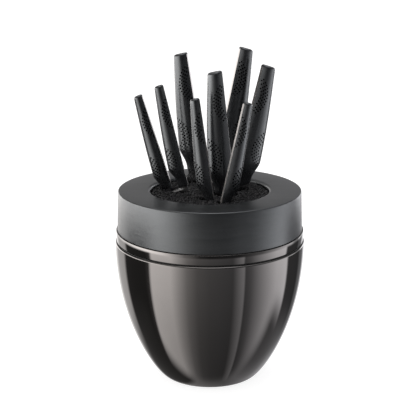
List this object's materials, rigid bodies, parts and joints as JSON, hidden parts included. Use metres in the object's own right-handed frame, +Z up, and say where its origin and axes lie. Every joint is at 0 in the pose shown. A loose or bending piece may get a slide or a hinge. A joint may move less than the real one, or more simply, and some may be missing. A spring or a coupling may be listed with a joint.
{
  "type": "knife block with knives",
  "caption": "Turned steel knife block with a wooden top ring and a lift-out cup of flexible rods that holds kitchen knives with dimpled steel handles.",
  "frame": {"origin": "middle of the resting face, under the base pad", "axes": "+Z up through the middle of the block; the knives' broad sides face -Y and +Y, and they lean towards -X and +X"},
  "size_m": [0.2166, 0.2166, 0.3773],
  "materials": {
    "polished_gunmetal": "mirror polished, dark gunmetal tint",
    "black_stained_wood": "black stained, satin lacquer, fine grain",
    "black_rubber": "matt",
    "black_plastic": "moulded, matt",
    "bristle_rods": "extruded rods, satin",
    "zinc_screws": "zinc plated",
    "black_coated_steel": "black coating, satin gloss",
    "polished_blade_steel": "fine polished with a ground edge"
  },
  "bodies": {
    "vessel": {"vessel_shell": "polished_gunmetal", "base_pad": "black_rubber", "rim_gasket": "black_rubber"},
    "top_ring": {"wood_ring": "black_stained_wood", "rim_collar": "polished_gunmetal", "support_ring": "black_plastic", "ring_screw_1": "zinc_screws", "ring_screw_2": "zinc_screws", "ring_screw_3": "zinc_screws", "ring_screw_4": "zinc_screws", "ring_screw_5": "zinc_screws", "ring_screw_6": "zinc_screws"},
    "insert": {"insert_cup": "black_plastic", "bristle_base": "black_plastic", "bristle_pack": "bristle_rods"},
    "paring_knife": {"paring_blade": "polished_blade_steel", "paring_handle": "black_coated_steel", "paring_end_cap": "black_coated_steel"},
    "vegetable_knife": {"vegetable_blade": "polished_blade_steel", "vegetable_handle": "black_coated_steel", "vegetable_end_cap": "black_coated_steel"},
    "bread_knife": {"bread_blade": "polished_blade_steel", "bread_handle": "black_coated_steel", "bread_end_cap": "black_coated_steel"},
    "utility_knife": {"utility_blade": "polished_blade_steel", "utility_handle": "black_coated_steel", "utility_end_cap": "black_coated_steel"},
    "santoku_knife": {"santoku_blade": "polished_blade_steel", "santoku_handle": "black_coated_steel", "santoku_end_cap": "black_coated_steel"},
    "chef_knife": {"chef_blade": "polished_blade_steel", "chef_handle": "black_coated_steel", "chef_end_cap": "black_coated_steel"},
    "tomato_knife": {"tomato_blade": "polished_blade_steel", "tomato_handle": "black_coated_steel", "tomato_end_cap": "black_coated_steel"},
    "carving_knife": {"carving_blade": "polished_blade_steel", "carving_handle": "black_coated_steel", "carving_end_cap": "black_coated_steel"}
  },
  "joints": [
    {"name": "top_ring_lift", "type": "slide", "parent": "vessel", "child": "top_ring", "axis": [0, 0, 1], "range_m": [0, 0.16]},
    {"name": "insert_lift", "type": "slide", "parent": "top_ring", "child": "insert", "axis": [0, 0, 1], "range_m": [0, 0.21]},
    {"name": "paring_knife_draw", "type": "slide", "parent": "insert", "child": "paring_knife", "axis": [-0.2974, 0, 0.9548], "range_m": [0, 0.105]},
    {"name": "vegetable_knife_draw", "type": "slide", "parent": "insert", "child": "vegetable_knife", "axis": [-0.2334, 0, 0.9724], "range_m": [0, 0.14]},
    {"name": "bread_knife_draw", "type": "slide", "parent": "insert", "child": "bread_knife", "axis": [-0.1513, 0, 0.9885], "range_m": [0, 0.205]},
    {"name": "utility_knife_draw", "type": "slide", "parent": "insert", "child": "utility_knife", "axis": [-0.1444, 0, 0.9895], "range_m": [0, 0.14]},
    {"name": "santoku_knife_draw", "type": "slide", "parent": "insert", "child": "santoku_knife", "axis": [-0.1097, 0, 0.994], "range_m": [0, 0.185]},
    {"name": "chef_knife_draw", "type": "slide", "parent": "insert", "child": "chef_knife", "axis": [0.2028, 0, 0.9792], "range_m": [0, 0.19]},
    {"name": "tomato_knife_draw", "type": "slide", "parent": "insert", "child": "tomato_knife", "axis": [0.2164, 0, 0.9763], "range_m": [0, 0.13]},
    {"name": "carving_knife_draw", "type": "slide", "parent": "insert", "child": "carving_knife", "axis": [0.2368, 0, 0.9715], "range_m": [0, 0.205]}
  ]
}
